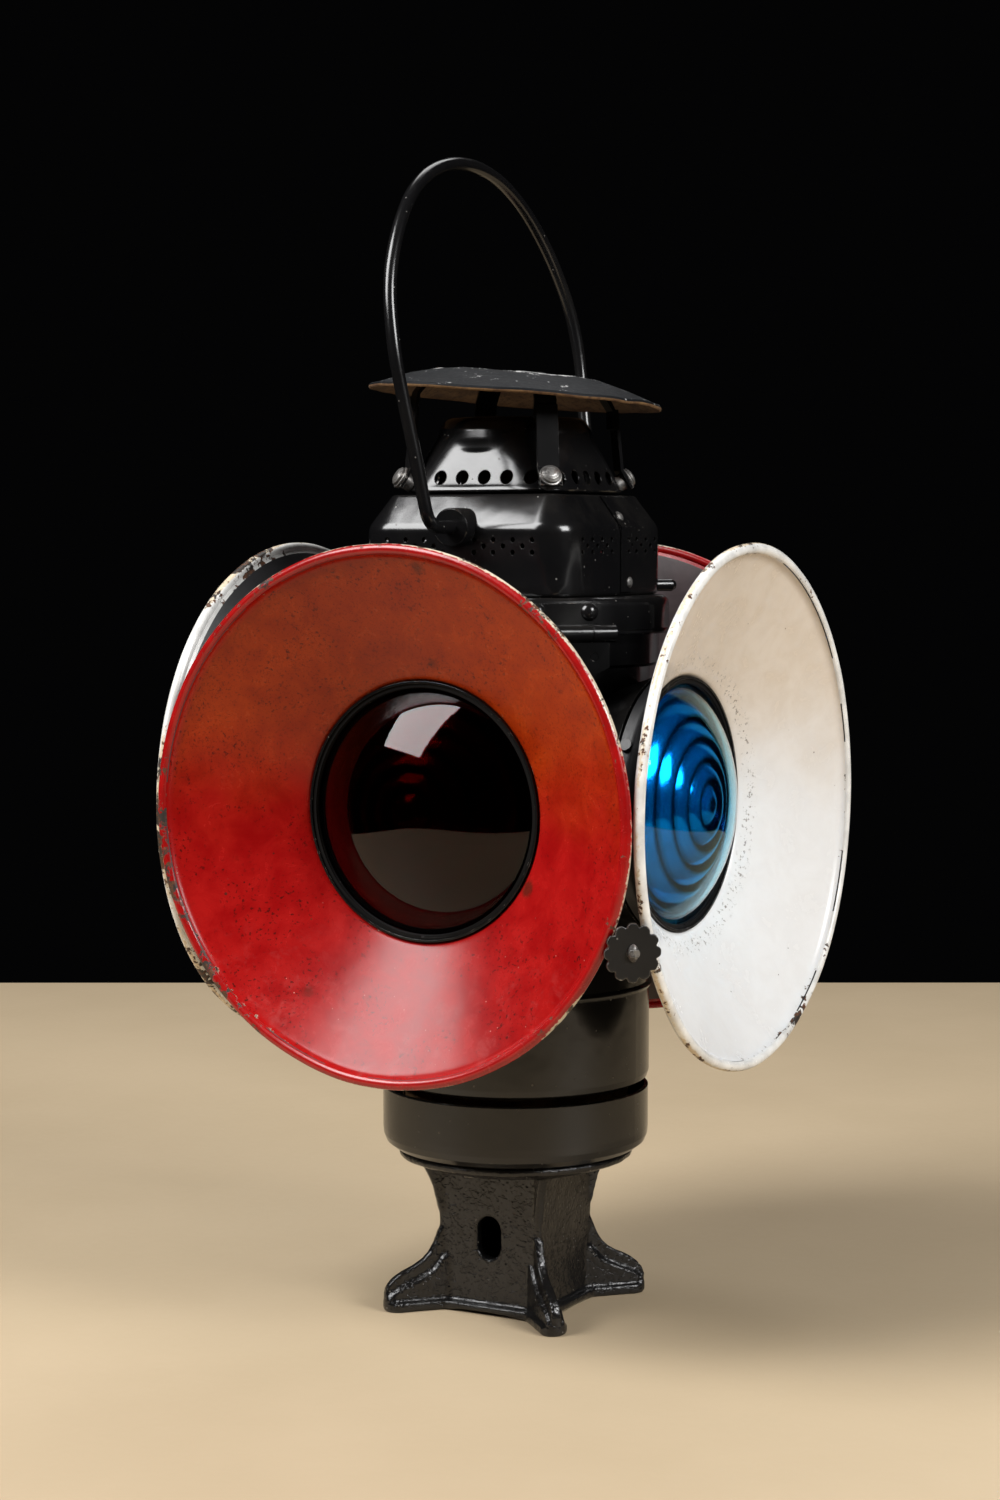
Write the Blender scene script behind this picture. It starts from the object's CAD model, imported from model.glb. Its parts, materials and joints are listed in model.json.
"""Looks of the railroad switch lantern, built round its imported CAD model.

Lengths are in millimetres until they reach a mesh, where MM turns them into metres.
Z is up, the near red target faces -Y and the right white target faces +X.
"""

import json
import math

import bmesh
import bpy
from mathutils import Matrix, Vector, noise

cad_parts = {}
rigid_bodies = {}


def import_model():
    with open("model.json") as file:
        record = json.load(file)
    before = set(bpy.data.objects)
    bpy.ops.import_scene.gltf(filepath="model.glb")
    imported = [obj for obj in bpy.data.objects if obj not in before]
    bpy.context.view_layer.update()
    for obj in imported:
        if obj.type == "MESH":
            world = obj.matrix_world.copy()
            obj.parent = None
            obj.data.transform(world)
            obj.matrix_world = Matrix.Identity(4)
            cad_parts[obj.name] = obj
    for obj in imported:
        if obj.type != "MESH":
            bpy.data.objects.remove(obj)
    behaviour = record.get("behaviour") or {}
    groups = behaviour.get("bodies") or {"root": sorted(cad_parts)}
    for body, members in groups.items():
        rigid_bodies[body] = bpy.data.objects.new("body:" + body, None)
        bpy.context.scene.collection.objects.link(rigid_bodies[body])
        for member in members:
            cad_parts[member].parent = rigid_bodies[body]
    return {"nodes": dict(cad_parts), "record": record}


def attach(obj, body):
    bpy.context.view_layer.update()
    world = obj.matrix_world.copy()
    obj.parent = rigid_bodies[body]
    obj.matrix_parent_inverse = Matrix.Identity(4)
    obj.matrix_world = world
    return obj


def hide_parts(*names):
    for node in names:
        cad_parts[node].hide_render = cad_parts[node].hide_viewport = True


for spare in list(bpy.data.objects):
    bpy.data.objects.remove(spare)
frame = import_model()
bpy.context.view_layer.update()

MM = 0.001
WELD = 1e-6
NODES = frame["nodes"]
SLOT_OF = {row["node"]: row["material_slot"] for row in frame["record"]["subparts"]}

# Sizes that the CAD source also names, in millimetres
LENS_Z = 258.5
TARGET_R = 127.0
TARGET_X = 128.6
EDGE_R = 2.6
THROAT_R = 62.25
THROAT_X = 93.8
COLLAR_BACK_X = 85.3
TARGET_T = 1.3
LENS_SPHERE_R = 89.0
LENS_DOME_R = 59.0
DOME_X = 91.2
FIRST_RING = 12.0
RING_PITCH = 10.0
RING_CROWN = 1.125
DOME_T = 2.0
RETAINER_OUT_R = 60.95
RETAINER_T = 2.5
CAP_R = 73.0
CAP_RIM_Z = 457.6
CAP_RISE = 10.8
CAP_FLAT_R = 41.5
CAP_T = 1.4
CAP_LEAN = 4.6
PHOTO_AZIMUTH = 28.16
BAIL_PIVOT_Z = 393.0
BAIL_FOOT_Y = 86.0
BAIL_ARCH_R = 97.0
BAIL_ARCH_H = 85.5
BAIL_LEAN = 8.4
BAIL_BEND_R = 9.0
BAIL_R = 3.2
BAIL_INNER_Y = 51.0
WHEEL_U = 178.0
WHEEL_T = 1.8
WHEEL_R = 13.5
WHEEL_TEETH = 12
WHEEL_SCALLOP = 1.75
WHEEL_HUB_R = 3.2
SHAFT_Z = 204.4
SHELL_HALF = 58.0
SHELL_CORNER = 18.0
SHELL_LOW = 359.5
SHELL_WALL_TOP = 393.0
SHELL_TOP = 409.0
SHELL_BEVEL_IN = 12.0
SHEET_T = 1.2
PERF_D = 2.5
PERF_Z = 384.0
PERF_PITCH = 10.5
PERF_START = 8.5
PERF_ROW_STEP = 3.0
BAIL_HOLE_R = 4.2
LIFT_ROD_HOLE_R = 3.4
COLLAR_HOLE_R = 50.0
LIFT_ROD_Z = 363.9
VENT_Z = 411.0
VENT_BASE_R = 55.0
VENT_BASE_HALF = 45.0
VENT_TOP_HALF = 36.0
VENT_TOP_R = 36.8
VENT_FLAT_TOP = 441.0
# Heights and radii up the ventilator's neck
VENT_NECK = ((415.0, 30.0), (431.0, 39.2), (436.0, 39.0), (441.0, 38.0), (445.0, 35.5), (447.0, 33.0))
# How far the rolled foot is drawn in, and at what height
VENT_FOOT = ((5.0, 409.0), (4.3, 409.5), (2.2, 409.8), (0.5, 410.4))
VENT_FOOT += ((0.0, 411.2), (0.25, 412.0), (0.1, 413.0))
VENT_INSIDE_R = 38.0
VENT_HOLE_D = 7.0
VENT_HOLE_PITCH = 12.2
VENT_HOLE_Z = 417.2
VENT_HOLES = 6
STRAP_KINK = (53.8, 421.5)
STRAP_BOLT_WAY = 5.9
STRAP_BOLT_HOLE_R = 2.8
STRAP_T = 1.6
STRAP_TILT = math.degrees(math.atan((VENT_BASE_R - VENT_TOP_R) / (VENT_FLAT_TOP - VENT_Z)))


# Materials


class Paint:
    """A node material written as nested calls. Places are the object's own, in metres."""

    def __init__(self, name):
        self.mat = bpy.data.materials.new(name)
        self.mat.use_nodes = True
        self.tree = self.mat.node_tree
        self.tree.nodes.clear()
        self.out = self.add("ShaderNodeOutputMaterial")
        self.place = self.add("ShaderNodeTexCoord").outputs["Object"]
        self.x, self.y, self.z = self.add("ShaderNodeSeparateXYZ", {0: self.place}).outputs
        self.facing = self.add("ShaderNodeNewGeometry").outputs["Normal"]
        self.up = self.add("ShaderNodeSeparateXYZ", {0: self.facing}).outputs[2]

    def add(self, kind, inputs=None, **settings):
        """A node with its settings, its inputs given by name or number."""
        node = self.tree.nodes.new(kind)
        for name, value in settings.items():
            setattr(node, name, value)
        for name, value in (inputs or {}).items():
            self.feed(node.inputs[name], value)
        return node

    def feed(self, socket, value):
        if isinstance(value, bpy.types.NodeSocket):
            self.tree.links.new(value, socket)
        elif isinstance(value, tuple) and len(value) == 3 and socket.type == "RGBA":
            socket.default_value = (*value, 1.0)
        else:
            socket.default_value = value

    def calc(self, operation, a, b=0.0):
        return self.add("ShaderNodeMath", {0: a, 1: b}, operation=operation).outputs[0]

    def times(self, a, b):
        return self.calc("MULTIPLY", a, b)

    def plus(self, a, b):
        return self.calc("ADD", a, b)

    def most(self, a, b):
        return self.calc("MAXIMUM", a, b)

    def step(self, value, low, high):
        """0 below low, 1 above high, smooth between; low above high turns it round."""
        inputs = {"Value": value, "From Min": min(low, high), "From Max": max(low, high)}
        if low > high:
            inputs.update({"To Min": 1.0, "To Max": 0.0})
        node = self.add("ShaderNodeMapRange", inputs, interpolation_type="SMOOTHSTEP")
        return node.outputs["Result"]

    def span(self, value, low, high):
        """Runs from low to high as value runs from 0 to 1."""
        inputs = {"Value": value, "To Min": low, "To Max": high}
        return self.add("ShaderNodeMapRange", inputs).outputs["Result"]

    def sway(self, value, size):
        """Runs from -size / 2 to size / 2 as value runs from 0 to 1."""
        return self.times(self.plus(value, -0.5), size)

    def share(self, a, b, part):
        """part of a and the rest of b."""
        return self.plus(self.times(a, part), self.times(b, 1.0 - part))

    def noise(self, size, detail=3.0, rough=0.55, warp=0.0, at=None, shift=0.0):
        """Noise with features about size millimetres across."""
        at = self.place if at is None else at
        if shift:
            move = {0: at, 1: (shift, shift * 0.7, shift * 1.3)}
            at = self.add("ShaderNodeVectorMath", move, operation="ADD").outputs[0]
        inputs = {"Vector": at, "Scale": 1000.0 / size, "Detail": detail}
        inputs.update({"Roughness": rough, "Distortion": warp})
        return self.add("ShaderNodeTexNoise", inputs).outputs["Fac"]

    def cells(self, size):
        """A pattern of cells about size millimetres across."""
        return self.add("ShaderNodeTexVoronoi", {"Vector": self.place, "Scale": 1000.0 / size})

    def specks(self, size, share, radius=0.16):
        """Small round spots in a share of the cells of a pattern of that size."""
        cells = self.cells(size)
        spot = self.step(cells.outputs["Distance"], radius, radius * 0.6)
        return self.times(spot, self.chosen(cells, share))

    def chosen(self, cells, share):
        """1 in a share of the cells, 0 in the others."""
        pick = self.add("ShaderNodeSeparateColor", {0: cells.outputs["Color"]})
        return self.step(pick.outputs[0], 1.0 - share, 1.0 - share + 0.02)

    def scratches(self, size, turn, share=0.5):
        """Fine long lines across a direction given by turn, in degrees about each axis."""
        inputs = {"Vector": self.place, "Scale": (1.0, 0.03, 0.3)}
        inputs["Rotation"] = tuple(math.radians(a) for a in turn)
        node = self.add("ShaderNodeMapping", inputs, vector_type="TEXTURE")
        lines = self.noise(size * 0.03, 2.0, 0.6, 0.0, node.outputs[0])
        where = self.noise(size * 3.0, 2.0, 0.5)
        return self.times(self.step(lines, 0.74, 0.80), self.step(where, share, share + 0.12))

    def mix(self, share, a, b):
        """The colour a where share is 0, b where it is 1."""
        return self.add("ShaderNodeMix", {0: share, 6: a, 7: b}, data_type="RGBA").outputs[2]

    def bump(self, height, depth, below=None):
        """depth is in millimetres for a height of 0 to 1."""
        inputs = {"Height": height, "Strength": 1.0, "Distance": depth * MM}
        if below is not None:
            inputs["Normal"] = below
        return self.add("ShaderNodeBump", inputs).outputs[0]

    def soft_edges(self, radius):
        """Normals rounded over edges by radius millimetres."""
        return self.add("ShaderNodeBevel", {"Radius": radius * MM}, samples=3).outputs[0]

    def edge_mask(self, rounded):
        """1 on edges, from how far the rounded normal leaves the true one."""
        pair = {0: rounded, 1: self.facing}
        node = self.add("ShaderNodeVectorMath", pair, operation="DOT_PRODUCT")
        return self.step(node.outputs["Value"], 0.985, 0.90)

    def radius(self, a, b, centre_b):
        """Distance in metres from an axis, in the plane of a and b."""
        b = self.plus(b, -centre_b)
        return self.calc("SQRT", self.plus(self.times(a, a), self.times(b, b)))

    def lens_reach(self, red):
        """Distance in metres from the axis of the red lenses, or of the blue ones."""
        return self.radius(self.x if red else self.y, self.z, LENS_Z * MM)

    def surface(self, colour, roughness, normal=None, metallic=0.0, **fixed):
        """The shader. Numbers in fixed go straight onto its sockets."""
        inputs = {"Base Color": colour, "Roughness": roughness, "Metallic": metallic}
        inputs.update({name.replace("_", " "): value for name, value in fixed.items()})
        if normal is not None:
            inputs["Normal"] = normal
        node = self.add("ShaderNodeBsdfPrincipled", inputs)
        self.feed(self.out.inputs["Surface"], node.outputs[0])
        return node


DUST = (0.23, 0.20, 0.165)
BARE_STEEL = (0.30, 0.285, 0.26)
RUST = (0.10, 0.036, 0.012)


def darker(colour, part):
    return tuple(channel * part for channel in colour)


def black_paint(name, gloss, dust, wear, dents, pits, edge=0.45, worn_from=None, shine=0.5):
    """Old gloss black paint over steel or iron. worn_from(p) says where more of it is gone."""
    p = Paint(name)
    rounded = p.soft_edges(edge)
    edges = p.edge_mask(rounded)
    broad = p.noise(46, 3)
    fine = p.noise(5, 5, 0.62)
    grain = p.noise(1.1, 3, 0.6)
    hold = p.plus(fine, p.times(edges, wear))
    if worn_from:
        hold = p.plus(hold, worn_from(p))
    chips = p.times(p.step(hold, 0.76, 0.84), p.step(grain, 0.34, 0.46))
    specks = p.most(p.specks(6.5, 0.24, 0.09), p.specks(3.2, 0.10, 0.13))
    film = p.times(p.step(p.plus(p.times(p.up, 0.4), p.noise(13, 5, 0.65)), 0.60, 1.10), dust)
    scratch = p.scratches(40, (20, 35, 10), 0.55)
    cloud = p.times(p.step(broad, 0.35, 0.7), 0.6)
    colour = p.mix(cloud, (0.0045, 0.0044, 0.0048), (0.0095, 0.0088, 0.0082))
    colour = p.mix(p.times(film, 0.40), colour, DUST)
    colour = p.mix(p.times(specks, 0.45), colour, (0.30, 0.28, 0.25))
    colour = p.mix(p.times(scratch, 0.25), colour, (0.10, 0.095, 0.09))
    bare = p.mix(p.step(p.noise(2.6, 3), 0.50, 0.64), BARE_STEEL, RUST)
    colour = p.mix(chips, colour, bare)
    rough = p.span(p.share(fine, broad, 0.5), gloss, gloss + 0.16)
    rough = p.plus(rough, p.times(film, 0.30))
    rough = p.plus(rough, p.times(p.most(chips, specks), 0.30))
    normal = p.bump(p.noise(30, 2), dents, rounded)
    normal = p.bump(p.plus(p.times(fine, 0.6), p.times(grain, 0.2)), 0.03, normal)
    if pits:
        hollow = p.step(p.cells(2.4).outputs["Distance"], 0.0, 0.55)
        hollow = p.plus(hollow, p.step(p.noise(3.4, 4, 0.6, 0.6), 0.33, 0.52))
        normal = p.bump(hollow, pits, normal)
    normal = p.bump(p.plus(p.times(chips, -1.0), specks), 0.04, normal)
    p.surface(colour, rough, normal, p.times(chips, 0.6), Specular_IOR_Level=shine)
    return p.mat


def bare_metal(name, light, dark, gloss, rust):
    """Worn metal with darker paint or tarnish left in patches."""
    p = Paint(name)
    rounded = p.soft_edges(0.4)
    edges = p.edge_mask(rounded)
    patch = p.noise(7, 5, 0.62)
    grain = p.noise(0.9, 4, 0.65)
    dirt = p.step(p.plus(patch, p.times(edges, -0.3)), 0.45, 0.60)
    colour = p.mix(p.times(grain, 0.6), light, darker(light, 0.55))
    colour = p.mix(dirt, colour, dark)
    rusty = p.step(p.noise(4, 4, 0.6, 0.0, None, 3.1), 0.50, 0.66)
    colour = p.mix(p.times(rusty, rust), colour, RUST)
    rough = p.plus(p.span(grain, gloss, gloss + 0.25), p.times(dirt, 0.12))
    normal = p.bump(p.plus(grain, patch), 0.09, rounded)
    p.surface(colour, rough, normal, p.times(p.step(dirt, 1.0, 0.0), 0.85))
    return p.mat


def enamel(name, red):
    """The face of a red or a white day target: glossy enamel, chipped towards its rim."""
    p = Paint(name)
    rounded = p.soft_edges(0.5)
    reach = p.lens_reach(red)
    broad = p.noise(60, 4, 0.6)
    cloud = p.noise(17, 5, 0.65, 0.4)
    fine = p.noise(3.2, 5, 0.65)
    grain = p.noise(0.8, 3, 0.6)
    height = p.step(p.plus(p.z, p.sway(broad, 0.07)), 0.235, 0.320)
    if red:
        low = p.mix(p.step(cloud, 0.30, 0.72), (0.260, 0.0025, 0.0030), (0.360, 0.0070, 0.0060))
        high = p.mix(p.step(cloud, 0.30, 0.72), (0.270, 0.0210, 0.0010), (0.370, 0.0380, 0.0020))
        colour = p.mix(height, low, high)
        speckle = p.times(p.step(p.noise(1.1, 4, 0.7), 0.54, 0.64), p.step(height, 0.0, 0.6))
        colour = p.mix(p.times(speckle, 0.60), colour, (0.090, 0.006, 0.002))
        brown = p.times(p.step(p.noise(11, 5, 0.7), 0.58, 0.74), 0.30)
        colour = p.mix(brown, colour, (0.13, 0.006, 0.003))
        stains = p.cells(34)
        stain = p.step(p.plus(stains.outputs["Distance"], p.sway(fine, 0.10)), 0.16, 0.06)
        stain = p.times(stain, p.chosen(stains, 0.80))
        colour = p.mix(p.times(stain, 0.75), colour, (0.055, 0.012, 0.006))
        rim = p.step(reach, 0.1190, 0.1225)
        colour = p.mix(p.times(rim, 0.8), colour, (0.36, 0.005, 0.005))
        chalk = p.times(p.step(p.noise(9, 5, 0.7, 0.5), 0.50, 0.70), p.step(p.z, 0.215, 0.150))
        colour = p.mix(p.times(chalk, 0.14), colour, (0.55, 0.16, 0.15))
        grit = p.times(p.step(p.noise(1.7, 3, 0.6), 0.58, 0.66), p.step(p.noise(24, 3), 0.40, 0.60))
        colour = p.mix(p.times(grit, 0.80), colour, (0.045, 0.004, 0.003))
        nicks = p.times(p.specks(5.2, 0.45, 0.075), p.step(p.z, 0.235, 0.165))
        colour = p.mix(p.times(nicks, 0.65), colour, (0.60, 0.30, 0.26))
    else:
        low = p.mix(p.step(cloud, 0.3, 0.7), (0.80, 0.80, 0.80), (0.76, 0.755, 0.75))
        high = p.mix(p.step(cloud, 0.3, 0.7), (0.70, 0.62, 0.53), (0.64, 0.55, 0.45))
        colour = p.mix(height, low, high)
        smoke = p.times(p.step(p.noise(26, 5, 0.6, 0.8), 0.56, 0.78), 0.10)
        colour = p.mix(smoke, colour, (0.56, 0.50, 0.44))
        ring = p.times(p.step(reach, 0.0650, 0.0680), p.step(reach, 0.0750, 0.0700))
        picks = p.times(ring, p.step(p.noise(2.2, 4, 0.7), 0.575, 0.615))
        colour = p.mix(p.times(picks, 0.75), colour, (0.16, 0.13, 0.10))
    lines = p.most(p.scratches(34, (15, 50, 20), 0.52), p.scratches(60, (70, 10, 40), 0.56))
    colour = p.mix(p.times(lines, 0.50), colour, (0.60, 0.26, 0.20) if red else (0.42, 0.37, 0.32))
    rim_pull = p.times(p.step(reach, 0.1185, 0.1240), 0.265)
    throat_pull = p.times(p.step(reach, 0.068, 0.062), 0.14)
    pull = p.plus(p.most(rim_pull, throat_pull), p.sway(broad, 0.35))
    worn = p.plus(p.share(cloud, fine, 0.35), pull)
    halo = p.step(worn, 0.765, 0.787)
    chips = p.step(worn, 0.788, 0.803)
    spots = p.most(p.specks(19, 0.22, 0.050), p.specks(7, 0.16, 0.07))
    under = (0.50, 0.42, 0.31) if red else (0.16, 0.10, 0.06)
    colour = p.mix(halo, colour, under)
    core = p.mix(p.step(p.noise(2.0, 3), 0.45, 0.62), (0.018, 0.014, 0.012), RUST)
    colour = p.mix(p.most(chips, p.times(spots, 0.8)), colour, core)
    rough = p.plus(p.span(cloud, 0.19, 0.33), p.times(p.most(chips, lines), 0.30))
    normal = p.bump(p.noise(36, 2), 0.35, rounded)
    normal = p.bump(p.plus(fine, p.times(grain, 0.3)), 0.020, normal)
    normal = p.bump(p.plus(halo, chips), -0.09, normal)
    p.surface(colour, rough, normal, Specular_IOR_Level=0.24 if red else 0.40)
    return p.mat


def wired_edge(name, red):
    """The rolled rim of a target, rubbed through along its outside and chipped to the steel."""
    p = Paint(name)
    broad = p.noise(70, 3)
    fine = p.noise(2.6, 5, 0.65)
    uneven = p.plus(p.sway(broad, 0.005), p.sway(fine, 0.0020))
    rub = p.step(p.plus(p.lens_reach(red), uneven), 0.1266, 0.1270)
    colour = (0.36, 0.005, 0.005) if red else (0.86, 0.85, 0.82)
    under = (0.58, 0.50, 0.38) if red else (0.66, 0.55, 0.40)
    face = p.mix(p.step(p.noise(12, 4), 0.3, 0.7), colour, darker(colour, 0.75))
    face = p.mix(rub, face, under)
    worn = p.plus(p.share(p.noise(9, 5, 0.65, 0.3), fine, 0.6), p.sway(broad, 0.5))
    dark = p.step(p.plus(worn, p.times(rub, 0.05)), 0.588, 0.608)
    face = p.mix(dark, face, p.mix(p.step(fine, 0.50, 0.62), (0.022, 0.018, 0.015), RUST))
    normal = p.bump(p.plus(p.times(dark, -1.0), fine), 0.06)
    p.surface(face, p.plus(p.span(fine, 0.15, 0.35), p.times(dark, 0.25)), normal)
    return p.mat


def primer(name, tone):
    """The dull dark back of a day target."""
    p = Paint(name)
    cloud = p.noise(22, 5, 0.65, 0.4)
    fine = p.noise(2.6, 5, 0.65)
    colour = p.mix(p.step(cloud, 0.3, 0.7), tone, darker(tone, 0.55))
    colour = p.mix(p.times(p.scratches(44, (30, 20, 60), 0.50), 0.5), colour, (0.30, 0.27, 0.26))
    colour = p.mix(p.step(p.share(cloud, fine, 0.4), 0.68, 0.72), colour, RUST)
    normal = p.bump(fine, 0.05, p.bump(p.noise(36, 2), 0.4))
    p.surface(colour, p.span(fine, 0.35, 0.6), normal)
    return p.mat


def clear_glass(name, tint):
    """The lens's outer face; lamps reach what lies behind it."""
    p = Paint(name)
    smear = p.noise(14, 4, 0.6, 0.6)
    normal = p.bump(p.noise(30, 2), 0.03)
    rough = p.span(smear, 0.01, 0.045)
    glass = p.surface(tint, rough, normal, 0.0, Transmission_Weight=1.0, IOR=1.32)
    open_way = p.add("ShaderNodeBsdfTransparent", {"Color": tint})
    shadow = p.add("ShaderNodeLightPath").outputs["Is Shadow Ray"]
    pick = p.add("ShaderNodeMixShader", {0: shadow, 1: glass.outputs[0], 2: open_way.outputs[0]})
    p.feed(p.out.inputs["Surface"], pick.outputs[0])
    return p.mat


def ringed_glass(name, red, deep, bright):
    """The stepped inner face of a lens: a deep coloured mirror, darker at each step."""
    p = Paint(name)
    cloud = p.noise(30, 2, 0.5)
    dust = p.specks(5, 0.25, 0.06)
    past_step = p.plus(p.lens_reach(red), (RING_PITCH - FIRST_RING) * MM)
    along = p.calc("FRACT", p.times(past_step, 1000.0 / RING_PITCH))
    band = p.times(p.step(along, 0.02, 0.30), p.step(along, 0.98, 0.55))
    colour = p.mix(p.step(cloud, 0.35, 0.7), bright, darker(bright, 0.7))
    colour = p.mix(band, deep, colour)
    colour = p.mix(p.times(dust, 0.5), colour, (0.4, 0.4, 0.4))
    p.surface(colour, p.span(cloud, 0.10, 0.20), p.bump(cloud, 0.04), 0.85)
    return p.mat


def cap_top(name):
    """The rain cap's outside: rough black paint, chipped bright round its flat and at its edge."""
    p = Paint(name)
    cloud = p.noise(16, 5, 0.7, 0.4)
    fine = p.noise(2.4, 5, 0.68)
    grain = p.noise(0.8, 3, 0.6)
    reach = p.radius(p.x, p.y, 0.0)
    shoulder = p.times(p.step(reach, 0.0385, 0.0412), p.step(reach, 0.0465, 0.0425))
    worn = p.plus(p.share(cloud, fine, 0.6), p.times(shoulder, 0.085))
    bare = p.times(p.step(worn, 0.600, 0.630), p.step(grain, 0.36, 0.46))
    colour = p.mix(cloud, (0.0020, 0.0021, 0.0026), (0.0070, 0.0078, 0.0095))
    colour = p.mix(p.times(p.step(fine, 0.54, 0.70), 0.30), colour, (0.024, 0.026, 0.030))
    dots = p.most(p.specks(6.0, 0.40, 0.11), p.specks(3.4, 0.25, 0.13))
    colour = p.mix(dots, colour, (0.34, 0.34, 0.34))
    colour = p.mix(bare, colour, (0.60, 0.59, 0.58))
    normal = p.bump(p.plus(fine, p.times(bare, -0.6)), 0.14, p.bump(p.noise(22, 3), 0.6))
    p.surface(colour, p.span(fine, 0.42, 0.70), normal, p.times(bare, 0.5), Specular_IOR_Level=0.14)
    return p.mat


def cap_under(name):
    """The rain cap's underside, rusted and sooty."""
    p = Paint(name)
    cloud = p.noise(15, 5, 0.7, 0.6)
    fine = p.noise(2.0, 5, 0.65)
    colour = p.mix(p.step(cloud, 0.34, 0.66), (0.085, 0.038, 0.012), (0.20, 0.11, 0.042))
    colour = p.mix(p.times(p.step(fine, 0.50, 0.66), 0.7), colour, (0.05, 0.02, 0.01))
    soot = p.step(p.radius(p.x, p.y, 0.0), 0.046, 0.026)
    colour = p.mix(p.times(soot, 0.6), colour, (0.015, 0.012, 0.010))
    p.surface(colour, p.span(fine, 0.7, 0.95), p.bump(p.plus(fine, cloud), 0.22))
    return p.mat


def brass(name):
    """Brass gone brown, still bright where it is handled."""
    p = Paint(name)
    cloud = p.noise(12, 5, 0.65, 0.5)
    fine = p.noise(1.6, 4, 0.6)
    colour = p.mix(p.step(cloud, 0.35, 0.7), (0.42, 0.27, 0.09), (0.16, 0.10, 0.045))
    colour = p.mix(p.times(p.step(fine, 0.55, 0.7), 0.6), colour, (0.05, 0.035, 0.02))
    normal = p.bump(fine, 0.05, p.soft_edges(0.3))
    p.surface(colour, p.span(cloud, 0.28, 0.55), normal, p.span(cloud, 0.95, 0.6))
    return p.mat


def cloth(name, colour):
    """Woven cotton or felt."""
    p = Paint(name)
    threads = []
    for direction, scale in (("Z", 900.0), ("DIAGONAL", 700.0)):
        inputs = {"Vector": p.place, "Scale": scale}
        wave = p.add("ShaderNodeTexWave", inputs, bands_direction=direction)
        threads.append(wave.outputs["Fac"])
    weave = p.plus(*threads)
    tone = p.mix(p.noise(6, 4), colour, darker(colour, 0.6))
    p.surface(tone, p.span(weave, 0.85, 0.95), p.bump(weave, 0.12))
    return p.mat


def floor_paint(name):
    """The pale floor, faintly clouded."""
    p = Paint(name)
    cloud = p.noise(240, 4, 0.6)
    fine = p.noise(6, 4, 0.6)
    colour = p.mix(p.step(cloud, 0.3, 0.7), (0.47, 0.365, 0.235), (0.50, 0.39, 0.255))
    p.surface(colour, p.span(fine, 0.48, 0.60), p.bump(fine, 0.03))
    return p.mat


def tooth_wear(p):
    """Less paint left towards the tips of the raiser wheel's teeth."""
    along = p.times(p.plus(p.x, p.y), math.sqrt(0.5))
    return p.times(p.step(p.radius(along, p.z, SHAFT_Z * MM), 0.0119, 0.0133), 0.22)


def foot_wear(p):
    """Less paint left on the straps' flared feet."""
    return p.times(p.step(p.z, 0.4250, 0.4120), 0.20)


PAINTS = {
    "black_casting": black_paint("casting_paint", 0.11, 0.03, 0.16, 0.6, 0.14, edge=0.9),
    "black_sheet": black_paint("sheet_paint", 0.10, 0.07, 0.20, 0.5, 0.0),
    "black_wire": black_paint("wire_paint", 0.12, 0.02, 0.20, 0.12, 0.0),
    "worn_steel": bare_metal("worn_steel", (0.32, 0.31, 0.295), (0.035, 0.031, 0.028), 0.26, 0.25),
    "bare_strap_steel": black_paint(
        "strap_paint", 0.26, 0.0, 0.22, 0.5, 0.0, worn_from=foot_wear, shine=0.05
    ),
    "red_enamel": enamel("red_face", True),
    "white_enamel": enamel("white_face", False),
    "aged_brass": brass("tarnished_brass"),
    "sooty_sheet": cap_under("rusty_sheet"),
    "cotton_wick": cloth("wick_cotton", (0.66, 0.58, 0.44)),
    "seat_felt": cloth("seat_felt", (0.06, 0.05, 0.04)),
}
CAP_TOP = cap_top("cap_top")
BACKS = {
    "red": primer("mauve_back", (0.085, 0.060, 0.062)),
    "white": primer("black_back", (0.013, 0.0125, 0.014)),
}
RIMS = {"red": wired_edge("red_rim", True), "white": wired_edge("white_rim", False)}
DOMES = {
    "red": clear_glass("ruby_glass", (0.20, 0.006, 0.007)),
    "blue": clear_glass("signal_glass", (0.30, 0.80, 1.0)),
}
CORES = {
    "red": ringed_glass("ruby_rings", True, (0.004, 0.0, 0.0), (0.060, 0.002, 0.002)),
    "blue": ringed_glass("signal_rings", False, (0.001, 0.010, 0.030), (0.006, 0.23, 0.50)),
}
WHEEL_PAINT = black_paint("wheel_paint", 0.24, 0.10, 0.42, 0.3, 0.0, edge=0.5, worn_from=tooth_wear)
RIVET_PAINT = black_paint("cap_rivet_paint", 0.30, 0.05, 0.30, 0.2, 0.0)
SEAT_PAINT = black_paint("lens_seat_paint", 0.45, 0.0, 0.08, 0.2, 0.0, shine=0.10)


# Mesh code


def link(thing):
    bpy.context.scene.collection.objects.link(thing)
    return thing


def plain_mesh(name, verts, faces):
    """A mesh in metres from points in millimetres."""
    mesh = bpy.data.meshes.new(name)
    mesh.from_pydata([Vector(v) * MM for v in verts], [], faces)
    return mesh


def skin(name, verts, faces, materials):
    """A mesh with its points welded and its faces turned outwards."""
    mesh = plain_mesh(name, verts, faces)
    made = bmesh.new()
    made.from_mesh(mesh)
    bmesh.ops.remove_doubles(made, verts=made.verts, dist=WELD)
    bmesh.ops.recalc_face_normals(made, faces=made.faces)
    made.to_mesh(mesh)
    made.free()
    for material in materials:
        mesh.materials.append(material)
    return mesh


def crease(mesh, angle=38.0):
    """Smooth shading, with edges sharper than the angle left sharp."""
    mesh.shade_smooth()
    mesh.set_sharp_from_angle(angle=math.radians(angle))


def settle(piece):
    """Makes what a piece's modifiers give its mesh."""
    shaped = piece.evaluated_get(bpy.context.evaluated_depsgraph_get())
    mesh = bpy.data.meshes.new_from_object(shaped)
    piece.modifiers.clear()
    piece.data = mesh
    return mesh


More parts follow.
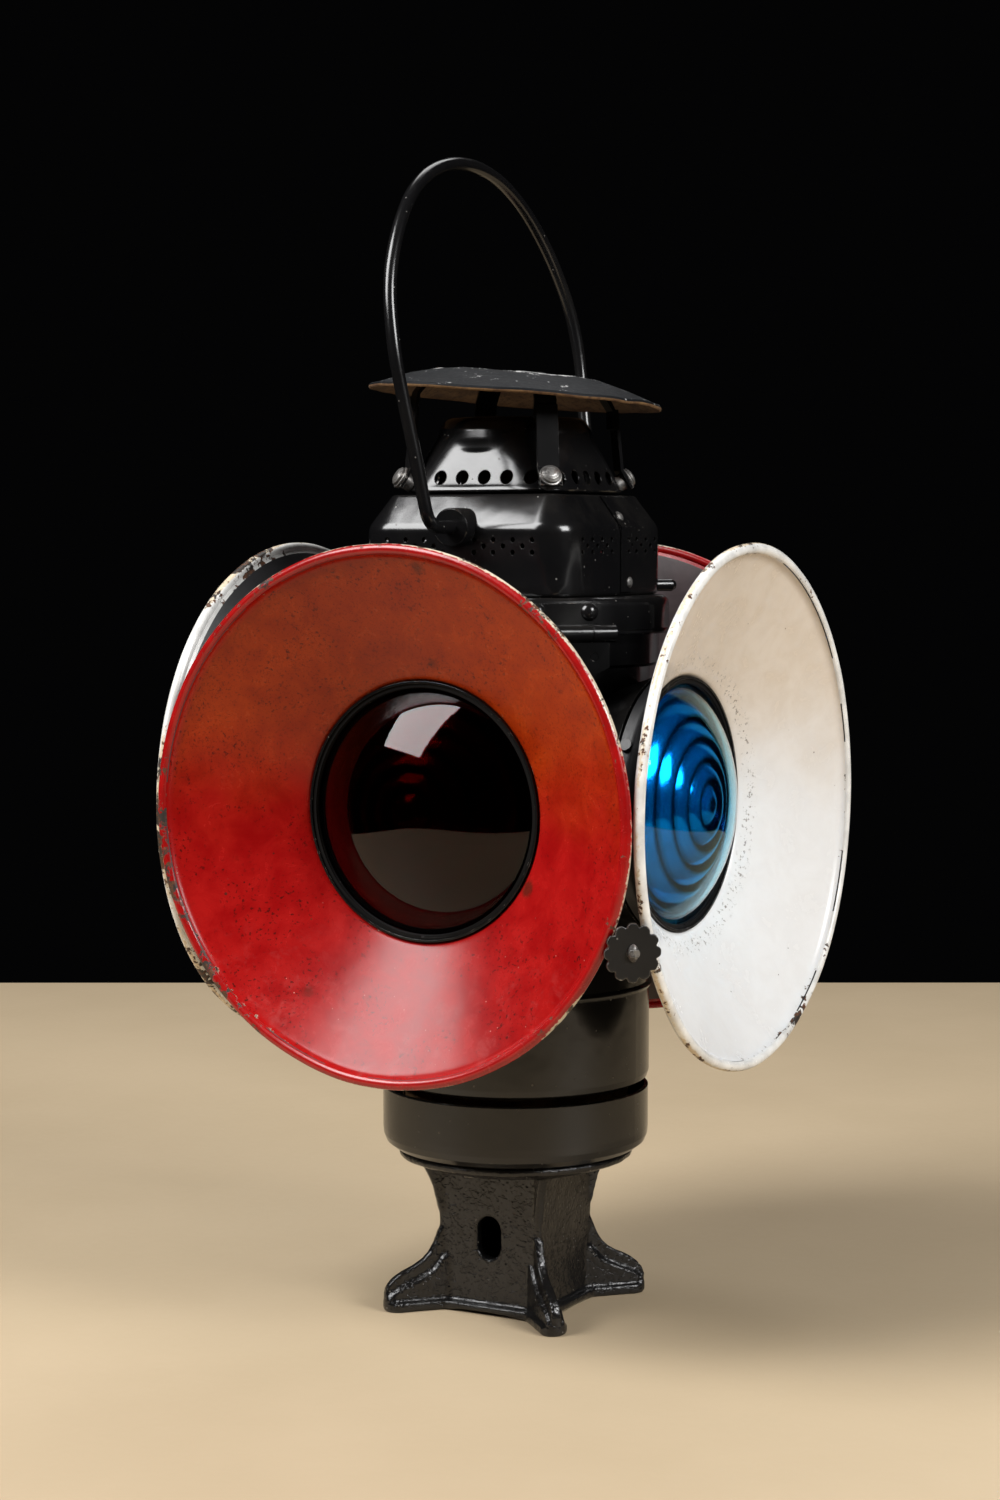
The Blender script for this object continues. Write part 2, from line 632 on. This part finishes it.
def build(name, shape, body, slot, replaces=(), materials=None, paint=None, sharp=38.0):
    """A piece from points in millimetres. paint(centre, normal) gives a face's material number."""
    mesh = skin(name, *shape, materials or [PAINTS[slot]])
    if paint:
        for face in mesh.polygons:
            face.material_index = paint(face.center / MM, face.normal)
    crease(mesh, sharp)
    piece = link(bpy.data.objects.new(name, mesh))
    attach(piece, body)
    if replaces:
        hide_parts(*replaces)
    return piece


def rounded(points, radius, closed=True, steps=4):
    """A polygon with its corners rounded; radius is one number or one per corner."""
    count = len(points)
    result = []
    for i, here in enumerate(points):
        r = radius[i] if isinstance(radius, (list, tuple)) else radius
        here = Vector(here)
        if r <= 0 or (not closed and i in (0, count - 1)):
            result.append(tuple(here))
            continue
        back = Vector(points[i - 1]) - here
        ahead = Vector(points[(i + 1) % count]) - here
        angle = back.angle(ahead)
        if angle > math.radians(176):
            result.append(tuple(here))
            continue
        cut = min(r / math.tan(angle / 2), back.length * 0.45, ahead.length * 0.45)
        start, end = here + back.normalized() * cut, here + ahead.normalized() * cut
        for s in range(steps + 1):
            t = s / steps
            result.append(tuple(start * (1 - t) ** 2 + here * 2 * t * (1 - t) + end * t * t))
    return result


def polar(r, a, z=0.0):
    return Vector((r * math.cos(a), r * math.sin(a), z))


def arc(centre, radius, start, stop, steps):
    """Points on an arc, angles in degrees."""
    spots = []
    for i in range(steps + 1):
        a = math.radians(start + (stop - start) * i / steps)
        spots.append((centre[0] + radius * math.cos(a), centre[1] + radius * math.sin(a)))
    return spots


def spin(profile, place, turns=160, closed=True, bend=None):
    """Points and faces of a profile of (radius, height) turned about the z axis of place."""
    verts, faces, rows = [], [], []
    for r, h in profile:
        row = []
        for k in range(1 if r < 1e-6 else turns):
            a = 2 * math.pi * k / turns
            spot = polar(r, a, h)
            if bend:
                spot = bend(spot, a)
            row.append(len(verts))
            verts.append(place @ spot)
        rows.append(row)
    pairs = zip(rows, rows[1:] + rows[:1]) if closed else zip(rows, rows[1:])
    for low, high in pairs:
        if len(low) == 1 and len(high) == 1:
            continue
        for k in range(turns):
            n = (k + 1) % turns
            corners = [low[k % len(low)], low[n % len(low)]]
            corners += [high[n % len(high)], high[k % len(high)]]
            faces.append([c for i, c in enumerate(corners) if c != corners[i - 1]])
    return verts, faces


def join_rings(rings, closed=True):
    """Faces between rings of equally many points, as one skin."""
    count = len(rings[0])
    verts = [spot for ring in rings for spot in ring]
    faces = []
    for row in range(len(rings) if closed else len(rings) - 1):
        here, there = row * count, (row + 1) % len(rings) * count
        for i in range(count):
            n = (i + 1) % count
            faces.append([here + i, here + n, there + n, there + i])
    return verts, faces


def gather(parts):
    """The points and faces of several parts as one."""
    verts, faces = [], []
    for points, sides in parts:
        faces += [[corner + len(verts) for corner in side] for side in sides]
        verts += points
    return verts, faces


def tube(path, radius, sides, waver):
    """A round bar along a list of points, closed at both ends; waver is how uneven it is."""
    rings = []
    up = None
    for i, here in enumerate(path):
        ahead = (path[min(i + 1, len(path) - 1)] - path[max(i - 1, 0)]).normalized()
        if up is None:
            up = ahead.orthogonal().normalized()
        up = (up - ahead * up.dot(ahead)).normalized()
        side = ahead.cross(up)
        r = radius * (1 + waver * noise.noise(here * 0.05))
        angles = [2 * math.pi * k / sides for k in range(sides)]
        rings.append([here + (up * math.cos(a) + side * math.sin(a)) * r for a in angles])
    verts, faces = join_rings(rings, False)
    faces.append(list(range(sides))[::-1])
    faces.append(list(range(len(verts) - sides, len(verts))))
    return verts, faces


def turn(angle, axis):
    return Matrix.Rotation(math.radians(angle), 4, axis)


def shift(x, y, z):
    return Matrix.Translation((x, y, z))


def at_lens(k):
    """Lens k's frame: z runs out along its axis; k counts quarter turns from +X."""
    return turn(90 * k, "Z") @ shift(0, 0, LENS_Z) @ turn(90, "Y")


def at_corner(k):
    return turn(-45 + 90 * k, "Z")


# Targets and lenses

# Name, quarter turns from +X, the target's colour, the lens's colour
FACES = (
    ("right", 0, "white", "blue"),
    ("rear", 1, "red", "red"),
    ("left", 2, "white", "blue"),
    ("front", 3, "red", "red"),
)


def target_profile():
    """Collar, dished face, wired edge and back, as one closed outline."""
    edge = (TARGET_R - EDGE_R, TARGET_X)
    wide, deep = edge[0] - THROAT_R, edge[1] - THROAT_X
    slope = math.degrees(math.atan2(deep, wide))
    face = [(THROAT_R, COLLAR_BACK_X), (THROAT_R, THROAT_X - 2.5), (THROAT_R + 0.5, THROAT_X - 0.6)]
    steps = 40
    for i in range(1, steps - 1):
        t = i / steps
        face.append((THROAT_R + 0.6 + (wide - 3.0) * t, THROAT_X + (deep - 1.2) * t))
    start, end = Vector(face[-1]), Vector((edge[0] - 0.866 * EDGE_R, edge[1] + 0.5 * EDGE_R))
    bend = Vector((end.x - 0.3, edge[1] - 1.2))
    for i in range(1, 7):
        t = i / 7
        face.append(tuple(start * (1 - t) ** 2 + bend * 2 * t * (1 - t) + end * t * t))
    bead = arc(edge, EDGE_R, 150, slope - 180 + 32, 22)
    outer, behind = THROAT_R + TARGET_T, THROAT_X - TARGET_T
    back = []
    for i in range(1, steps):
        t = 1 - i / steps
        back.append((outer + 0.4 + (wide - 3.0) * t, behind + (deep - 1.2) * t))
    tail = [(outer + 0.3, behind - 0.8), (outer, behind - 2.5), (outer, COLLAR_BACK_X)]
    return face + bead + back + tail


def make_target(name, k, colour):
    """A day target, its rim a little out of true, with enamel before, primer behind."""
    seed = 11.0 * k

    def bend(spot, a):
        share = max(0.0, (spot.x**2 + spot.y**2) ** 0.5 / TARGET_R - 0.5) * 2
        where = Vector((math.cos(a) * 1.7 + seed, math.sin(a) * 1.7, share))
        lift = noise.noise(where) * 0.55 + noise.noise(where * 3.1) * 0.20
        grow = noise.noise(where * 2.2 + Vector((5, 0, 0))) * 0.35
        return spot + polar(grow * share**2, a, lift * share**2)

    place = at_lens(k)
    shape = spin(target_profile(), place, 256, True, bend)
    back = place.inverted()

    def paint(centre, normal):
        spot = back @ centre
        reach = (spot.x**2 + spot.y**2) ** 0.5
        if reach > TARGET_R - 2 * EDGE_R + 0.3:
            return 2
        facing = (place.to_3x3().inverted() @ normal).z
        return 0 if facing > 0.2 or reach < THROAT_R + 0.4 else 1

    slot = colour + "_enamel"
    materials = [PAINTS[slot], BACKS[colour], RIMS[colour]]
    node = "target_" + name
    build("day_" + node, shape, "lantern", slot, [node], materials, paint)


def dome_height(r):
    """Height of the lens's outer face above its flange, at radius r."""
    sag = LENS_SPHERE_R - math.sqrt(LENS_SPHERE_R**2 - LENS_DOME_R**2)
    return DOME_X + sag - LENS_SPHERE_R + math.sqrt(LENS_SPHERE_R**2 - r * r)


def make_lens(name, k, colour):
    """A dome of clear glass over the stepped inner face."""
    place = at_lens(k)
    slot = colour + "_glass"
    rim = LENS_DOME_R
    reach = [rim * math.sin(math.pi / 2 * i / 36) for i in range(37)]
    outer = [(r, dome_height(r)) for r in reach]
    inner = [(r * 0.985, h - DOME_T) for r, h in reversed(outer)]
    flange = [(rim + 0.6, DOME_X - 3.6), (rim - 1.2, DOME_X - 3.6)]
    shape = spin(outer + flange + inner, place, 192, False)
    build("lens_dome_" + name, shape, "lantern", slot, ["lens_" + name], [DOMES[colour]])
    edges = [0.0] + [FIRST_RING + RING_PITCH * i for i in range(5)] + [57.4]
    rings = []
    for low, high in zip(edges, edges[1:]):
        top, foot = dome_height(low) - 5.4, dome_height(high) - 8.6
        for i in range(9):
            t = i / 8
            crown = RING_CROWN * 4 * t * (1 - t)
            rings.append((low + 0.35 + (high - low - 0.7) * t, top + (foot - top) * t + crown))
    rings[0] = (0.0, rings[0][1])
    rings.append((57.6, DOME_X - 3.8))
    shape = spin(rings, place, 192, False)
    build("lens_rings_" + name, shape, "lantern", slot, (), [CORES[colour]])


def make_seat_ring(name, k):
    """The black ring round each lens, its top slightly wavy."""
    inside = LENS_DOME_R - 0.4
    profile = [
        (inside, DOME_X + 0.5),
        (RETAINER_OUT_R, DOME_X),
        (RETAINER_OUT_R, DOME_X + RETAINER_T),
        (inside + 1.4, DOME_X + RETAINER_T),
        (inside, DOME_X + 1.4),
    ]

    def bend(spot, a):
        waver = noise.noise(Vector((math.cos(a) * 4 + k, math.sin(a) * 4, 0))) * 0.25
        return spot + Vector((0, 0, waver if spot.z > DOME_X + 1 else 0))

    shape = spin(rounded(profile, 0.5), at_lens(k), 160, True, bend)
    build("lens_seat_ring_" + name, shape, "lantern", "black_sheet", (), [SEAT_PAINT])


for face_name, quarter, target_colour, glass_colour in FACES:
    make_target(face_name, quarter, target_colour)
    make_lens(face_name, quarter, glass_colour)
    make_seat_ring(face_name, quarter)


# Base casting


def make_casting():
    """The base casting, melted from its CAD solid so that its corners and webs flow together."""
    piece = link(bpy.data.objects.new("base_casting", NODES["base_socket"].data.copy()))
    remesh = piece.modifiers.new("melt", "REMESH")
    remesh.mode = "VOXEL"
    remesh.voxel_size = 0.8 * MM
    smooth = piece.modifiers.new("flow", "SMOOTH")
    smooth.factor = 0.5
    smooth.iterations = 12
    mesh = settle(piece)
    normals = [vert.normal.copy() for vert in mesh.vertices]
    for vert, normal in zip(mesh.vertices, normals):
        where = vert.co / MM
        lump = noise.noise(where * 0.11) * 0.28 + noise.noise(where * 0.45) * 0.10
        vert.co += normal * lump * MM
    mesh.materials.clear()
    mesh.materials.append(PAINTS["black_casting"])
    mesh.shade_smooth()
    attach(piece, "lantern")
    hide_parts("base_socket")


make_casting()


# Hinged top


def round_square(half, corner, z, side_steps=14, corner_steps=14):
    """Points round a square with round corners, at height z."""
    core = half - corner
    spots = []
    for k in range(4):
        quarter = turn(90 * k, "Z")
        for i in range(side_steps):
            spots.append(quarter @ Vector((half, core * (2 * i / side_steps - 1), z)))
        for i in range(corner_steps):
            bow = polar(corner, math.pi / 2 * i / corner_steps, z)
            spots.append(quarter @ (Vector((core, core, 0)) + bow))
    return spots


def bars(frames, radius, length, sides):
    """Closed round bars for cutting holes: each is centred on its frame and runs along its z."""
    profile = [(0, -length / 2), (radius, -length / 2), (radius, length / 2), (0, length / 2)]
    return gather(spin(profile, place, sides, False) for place in frames)


def cut_holes(piece, groups):
    """Cuts groups of bars out of a piece and keeps the result as its mesh."""
    drill = link(bpy.data.objects.new("drill", plain_mesh("drill", *gather(groups))))
    holes = piece.modifiers.new("holes", "BOOLEAN")
    holes.operation = "DIFFERENCE"
    holes.solver = "EXACT"
    holes.object = drill
    bpy.context.view_layer.update()
    cut = settle(piece)
    bpy.data.objects.remove(drill)
    crease(cut)


def wall_frame(k, across, out, z):
    """A frame on wall k of a square piece: z runs out through the wall."""
    return turn(90 * k, "Z") @ shift(across, -out, z) @ turn(90, "X")


def shell_profile(inset):
    """Half width and height up the shell's wall, over its two soft bends, to its flat top."""
    half = SHELL_HALF - inset
    top = SHELL_TOP - inset
    line = [(half, SHELL_LOW + 2.0), (half, SHELL_WALL_TOP - inset * 0.35)]
    line += [(half - SHELL_BEVEL_IN + 0.3 * inset, top), (SHELL_HALF - SHELL_CORNER + 2.5, top)]
    return rounded(line, [0, 9.0, 5.0, 0], False, 8)


def make_lid_shell():
    """The square pressed shell, with soft bends, dented walls and its rows of perforations."""
    core = SHELL_HALF - SHELL_CORNER
    rings = [round_square(COLLAR_HOLE_R, COLLAR_HOLE_R, SHELL_LOW)]
    for pull, rise in ((3.0, 0.0), (1.2, 0.25), (0.35, 0.9)):
        rings.append(round_square(SHELL_HALF - pull, SHELL_CORNER - pull, SHELL_LOW + rise))
    outer = shell_profile(0.0)
    wall = [(SHELL_HALF, SHELL_LOW + 2.0 + 4.0 * i) for i in range(7)]
    for half, z in wall + outer[1:]:
        rings.append(round_square(half, max(half - core, 2.5), z))
    rings.append(round_square(core, core, SHELL_TOP))
    rings.append(round_square(core, core, SHELL_TOP - SHEET_T))
    for half, z in reversed(shell_profile(SHEET_T)):
        rings.append(round_square(half, max(half - core, 1.5), z))
    inner = SHELL_HALF - SHEET_T
    rings.append(round_square(inner - 0.6, SHELL_CORNER - SHEET_T - 0.6, SHELL_LOW + SHEET_T))
    rings.append(round_square(COLLAR_HOLE_R, COLLAR_HOLE_R, SHELL_LOW + SHEET_T))
    verts, faces = join_rings(rings)
    middle = Vector((0, 0, 1))
    for i, spot in enumerate(verts):
        flat = Vector((spot.x, spot.y, 0))
        if flat.length > core + 4 and spot.z > SHELL_LOW + 3:
            push = noise.noise(spot * 0.035) * 0.30 + noise.noise(spot * 0.10 + middle) * 0.10
            verts[i] = spot + flat.normalized() * push
    piece = build("lid_shell_sheet", (verts, faces), "lid", "black_sheet", ["lid_shell"])
    spots = []
    for row in range(3):
        z = PERF_Z + PERF_ROW_STEP * (row - 1)
        for i in range(4 - row % 2):
            across = PERF_START + PERF_PITCH * (i + (row % 2) / 2)
            for k in range(4):
                spots += [wall_frame(k, side * across, SHELL_HALF, z) for side in (-1, 1)]
    bail_way = shift(0, 0, BAIL_PIVOT_Z) @ turn(90, "X")
    rod_way = at_corner(1) @ shift(SHELL_HALF, 0, LIFT_ROD_Z) @ turn(90, "Y")
    through = 2 * SHELL_HALF + 20
    bores = [bars([bail_way], BAIL_HOLE_R, through, 32), bars([rod_way], LIFT_ROD_HOLE_R, 60, 32)]
    cut_holes(piece, [bars(spots, PERF_D / 2, 8, 16)] + bores)


def soft_least(a, b, k):
    """The lesser of a and b, eased over a span of k."""
    dip = max(k - abs(a - b), 0.0) / k
    return min(a, b) - dip * dip * k / 4


def soft_most(a, b, k):
    return -soft_least(-a, -b, k)


def vent_reach(a, z):
    """Radius of the ventilator at angle a: a soft square that runs out into its round neck."""
    neck = 0.0
    for (low, low_r), (high, high_r) in zip(VENT_NECK, VENT_NECK[1:]):
        if low <= z <= high:
            neck = low_r + (high_r - low_r) * (z - low) / (high - low)
    if z > VENT_FLAT_TOP:
        return neck
    t = (z - VENT_Z) / (VENT_FLAT_TOP - VENT_Z)
    flat = VENT_BASE_HALF + (VENT_TOP_HALF - VENT_BASE_HALF) * t
    cone = VENT_BASE_R + (VENT_TOP_R - VENT_BASE_R) * t
    wall = soft_least(flat / max(abs(math.cos(a)), abs(math.sin(a))), cone, 5.0)
    return min(soft_most(wall, neck, 1.6), max(cone, neck))


def strap_bolt_frame(k):
    """Frame of a strap's bolt: z runs out along its shank from the foot's inner face."""
    tilt = math.radians(STRAP_TILT)
    r = STRAP_KINK[0] + STRAP_BOLT_WAY * math.sin(tilt)
    z = STRAP_KINK[1] - STRAP_BOLT_WAY * math.cos(tilt)
    return at_corner(k) @ shift(r, 0, z) @ turn(90 - STRAP_TILT, "Y")


def make_ventilator():
    """The pressed ventilator: rolled foot, four flats with holes, round neck and mouth."""
    turns = 240
    angles = [2 * math.pi * k / turns for k in range(turns)]

    def ring(z, pull, at=None):
        at = z if at is None else at
        reach = [vent_reach(a, at) - pull for a in angles]
        return [polar(r, a, z) for r, a in zip(reach, angles)]

    def circle(r, z):
        return [polar(r, a, z) for a in angles]

    rings = [circle(VENT_INSIDE_R, SHELL_TOP)]
    rings += [ring(z, pull, max(z, VENT_Z)) for pull, z in VENT_FOOT]
    heights = [VENT_Z + 3.0 + i for i in range(33)]
    rings += [ring(z, 0.0) for z in heights]
    mouth_z, mouth_r = VENT_NECK[-1]
    rings += [circle(mouth_r - 0.25, mouth_z - 0.1), circle(mouth_r - 0.8, mouth_z - 0.1)]
    rings += [ring(z, SHEET_T) for z in reversed(heights)]
    rings += [ring(VENT_Z + 0.4, SHEET_T), circle(VENT_INSIDE_R, SHELL_TOP + SHEET_T)]
    verts, faces = join_rings(rings)
    for i, spot in enumerate(verts):
        flat = Vector((spot.x, spot.y, 0))
        if spot.z > VENT_Z + 1:
            verts[i] = spot + flat.normalized() * noise.noise(spot * 0.04) * 0.14
    piece = build("ventilator_sheet", (verts, faces), "lid", "black_sheet", ["ventilator"])
    spots = []
    for k in range(4):
        for i in range(VENT_HOLES):
            across = (i - (VENT_HOLES - 1) / 2) * VENT_HOLE_PITCH
            spots.append(wall_frame(k, across, VENT_BASE_HALF, VENT_HOLE_Z))
    bolts = [strap_bolt_frame(k) for k in range(4)]
    cut_holes(piece, [bars(spots, VENT_HOLE_D / 2, 16, 36), bars(bolts, STRAP_BOLT_HOLE_R, 14, 24)])


make_lid_shell()
make_ventilator()


# Rain cap


def make_cap():
    """The bent rain cap: its flat, sloping brim and turned edge, with the dents of long use."""
    lean_axis = turn(PHOTO_AZIMUTH, "Z") @ Vector((0, 1, 0))
    tilt = Matrix.Rotation(math.radians(CAP_LEAN), 4, lean_axis)
    lean = shift(0, 0, CAP_RIM_Z) @ tilt @ shift(0, 0, -CAP_RIM_Z)
    flat_z = CAP_RIM_Z + CAP_RISE
    mid = ((CAP_FLAT_R + CAP_R) / 2, CAP_RIM_Z + 0.6 * CAP_RISE)
    top = [(0, flat_z), (CAP_FLAT_R, flat_z), mid, (CAP_R - 0.9, CAP_RIM_Z + 0.9)]
    under = [(CAP_R - 1.2, CAP_RIM_Z - 0.9), (mid[0], mid[1] - CAP_T)]
    under += [(CAP_FLAT_R, flat_z - CAP_T), (0, flat_z - CAP_T)]

    def fill(points, steps):
        dense = []
        for a, b in zip(points, points[1:]):
            dense += [tuple(Vector(a).lerp(Vector(b), i / steps)) for i in range(steps)]
        return dense + [points[-1]]

    top = rounded(top, [0, 3.0, 30, 0], False, 5)
    under = rounded(under, [0, 30, 3.0, 0], False, 5)
    lip = arc((CAP_R - 1.3, CAP_RIM_Z), 1.3, 70, -70, 6)

    def bend(spot, a):
        reach = (spot.x**2 + spot.y**2) ** 0.5
        share = max(0.0, reach - CAP_FLAT_R * 0.8) / (CAP_R - CAP_FLAT_R * 0.8)
        where = polar(1.6, a, 4.0)
        wave = noise.noise(where) + noise.noise(where * 3.7) * 0.35
        ripple = noise.noise(Vector((spot.x, spot.y, 0)) * 0.06) * 0.5
        return spot + Vector((0, 0, wave * share**2 + ripple * min(1.0, reach / 20)))

    shape = spin(fill(top, 3) + lip + fill(under, 3), lean, 220, False, bend)
    flat = lean.to_3x3() @ Vector((0, 0, 1))

    def paint(centre, normal):
        return 0 if normal.dot(flat) > 0.05 else 1

    slot = "sooty_sheet"
    materials = [CAP_TOP, PAINTS[slot]]
    build("rain_cap_sheet", shape, "lid", slot, ["rain_cap"], materials, paint, 60)


make_cap()


# Bail


def make_bail():
    """The bent wire bail: inner ends, elbows, legs and arch as one bar."""
    leg = math.hypot(BAIL_FOOT_Y, BAIL_ARCH_H)
    slant = math.asin(BAIL_ARCH_R / leg) - math.atan2(BAIL_FOOT_Y, BAIL_ARCH_H)
    elbow_y = BAIL_FOOT_Y - BAIL_BEND_R * math.tan((math.pi / 2 - slant) / 2)
    half = [(BAIL_INNER_Y + (elbow_y - BAIL_INNER_Y) * i / 6, 0.0) for i in range(6)]
    half += arc((elbow_y, BAIL_BEND_R), BAIL_BEND_R, -90, -math.degrees(slant), 12)
    top = (BAIL_ARCH_R * math.cos(slant), BAIL_ARCH_H - BAIL_ARCH_R * math.sin(slant))
    low = half[-1]
    rise = (top[0] - low[0], top[1] - low[1])
    half += [(low[0] + rise[0] * i / 24, low[1] + rise[1] * i / 24) for i in range(1, 24)]
    half += arc((0, BAIL_ARCH_H), BAIL_ARCH_R, -math.degrees(slant), 90, 60)
    line = half + [(-y, z) for y, z in reversed(half[:-1])]
    place = shift(0, 0, BAIL_PIVOT_Z) @ turn(-BAIL_LEAN, "Y")
    path = []
    for y, z in line:
        share = min(1.0, max(0.0, (z - 20) / 60))
        kink = noise.noise(Vector((y * 0.022, z * 0.022, 2.0))) * 0.9 * share
        path.append(place @ Vector((kink, -y + kink * 0.5, z)))
    build("bail_wire", tube(path, BAIL_R, 28, 0.04), "bail", "black_wire", ["bail"])


make_bail()


# Bolts and raiser wheel


def make_bolt_heads():
    """Domed screw heads on loose washers, rubbed bright."""
    washer = [(0, 0.05), (5.6, 0.05), (5.6, 1.25), (0, 1.25)]
    head = [(0, 1.2), (4.75, 1.2), (4.8, 2.4), (3.4, 3.5), (1.6, 3.85), (0, 3.9)]
    parts = []
    for k in range(4):
        place = strap_bolt_frame(k) @ shift(0, 0, STRAP_T)
        for profile in (washer, head):
            parts.append(spin(rounded(profile, 0.45, False, 3), place, 40, False))
    build("strap_bolt_heads", gather(parts), "lid", "worn_steel")


make_bolt_heads()


def make_wheel():
    """The raiser's scalloped wheel with worn round teeth."""
    steps = 20
    outline = []
    for i in range(WHEEL_TEETH * steps):
        t = (i % steps) / steps
        dip = math.exp(-(((t - 0.5) / 0.19) ** 2))
        uneven = 0.12 * noise.noise(Vector((i // steps * 3.3, 0, 0)))
        r = WHEEL_R - 0.05 - WHEEL_SCALLOP * dip + uneven
        outline.append((r, 2 * math.pi * i / (WHEEL_TEETH * steps)))
    side = [(1.0, 0.0), (0.55, 0.0), (0.15, 0.12), (0.0, 0.45)]
    layers = side + [(pull, WHEEL_T - h) for pull, h in reversed(side)]
    place = at_corner(0) @ shift(WHEEL_U, 0, SHAFT_Z) @ turn(90, "Y")

    def ring(h, pull=0.0, hub=None):
        return [place @ polar(hub or r - pull, a, h) for r, a in outline]

    rings = [ring(0.0, hub=WHEEL_HUB_R)] + [ring(h, pull) for pull, h in layers]
    shape = join_rings(rings + [ring(WHEEL_T, hub=WHEEL_HUB_R)], False)
    slot, node = "bare_strap_steel", "raiser_wheel"
    build("raiser_wheel_plate", shape, "raiser", slot, [node], [WHEEL_PAINT])
    end = [(0, -0.4), (3.6, -0.4), (3.5, 0.9), (2.0, 1.9), (0, 2.1)]
    oval = place @ shift(0, 0, WHEEL_T) @ Matrix.Diagonal((1.15, 0.68, 1, 1))
    shape = spin(rounded(end, 0.4, False, 3), oval, 32, False)
    build("raiser_shaft_end", shape, "raiser", "worn_steel")


make_wheel()


# The CAD nodes that stay

OWN_PAINT = {"cap_rivets": RIVET_PAINT, "target_screws": RIVET_PAINT, "lens_retainers": SEAT_PAINT}
for node_name, node in NODES.items():
    if node.hide_render:
        continue
    node.data.materials.clear()
    node.data.materials.append(OWN_PAINT.get(node_name, PAINTS[SLOT_OF[node_name]]))


# Camera, light and floor


# Metres and degrees: the camera as fitted to the photograph
CAMERA_PLACE = (0.6588, -1.2308, 0.3885)
CAMERA_LENS = 66.85
CAMERA_DOWN = 4.38
CAMERA_ROLL = 0.06
CAMERA_PAN = 0.31
# Name, place and aim in metres, width, height, watts
SOFTBOXES = (
    ("key_softbox", (-0.93, -1.22, 1.88), (0, 0, 0.40), 1.15, 1.50, 82),
    ("right_softbox", (1.9, -0.35, 1.45), (0, 0, 0.25), 0.9, 0.9, 50),
    ("rear_softbox", (-0.45, 1.1, 2.0), (0, 0, 0.35), 1.1, 0.8, 8),
)
WORLD_GLOW = (0.0012, 0.0012, 0.0013, 1.0)
FLOOR_HALF = 1020.0
FLOOR_EDGE_R = 6.0
FLOOR_T = 30.0

camera_data = bpy.data.cameras.new("camera")
camera_data.lens = CAMERA_LENS
camera_data.sensor_width = 36.0
camera = link(bpy.data.objects.new("camera", camera_data))
camera.location = CAMERA_PLACE
angles = (90 - CAMERA_DOWN, CAMERA_ROLL, PHOTO_AZIMUTH + CAMERA_PAN)
camera.rotation_euler = tuple(math.radians(angle) for angle in angles)
bpy.context.scene.camera = camera

for light_name, light_place, light_aim, width, height, watts in SOFTBOXES:
    light = bpy.data.lights.new(light_name, "AREA")
    light.shape = "RECTANGLE"
    light.size, light.size_y = width, height
    light.energy = watts
    lamp = link(bpy.data.objects.new(light_name, light))
    lamp.location = light_place
    lamp.rotation_euler = (Vector(light_aim) - lamp.location).to_track_quat("-Z", "Y").to_euler()

world = bpy.data.worlds.new("studio")
world.use_nodes = True
world.node_tree.nodes["Background"].inputs["Color"].default_value = WORLD_GLOW
world.node_tree.nodes["Background"].inputs["Strength"].default_value = 1.0
bpy.context.scene.world = world
bpy.context.scene.view_settings.view_transform = "Standard"


def make_floor():
    """A square table top with round corners, its back edge straight across the camera's view."""
    edge = [(300, 0), (FLOOR_HALF, 0), (FLOOR_HALF, -FLOOR_T)]
    profile = rounded(edge, [0, FLOOR_EDGE_R, 0], False, 4)
    rings = [round_square(half, half / 2, z) for half, z in profile]
    verts, faces = join_rings(rings, False)
    faces.append(list(range(len(rings[0]))))
    verts = [turn(PHOTO_AZIMUTH, "Z") @ spot for spot in verts]
    mesh = skin("floor", verts, faces, [floor_paint("floor")])
    if mesh.polygons[-1].normal.z < 0:
        mesh.flip_normals()
    mesh.shade_flat()
    floor = link(bpy.data.objects.new("floor", mesh))


make_floor()

bpy.context.view_layer.update()
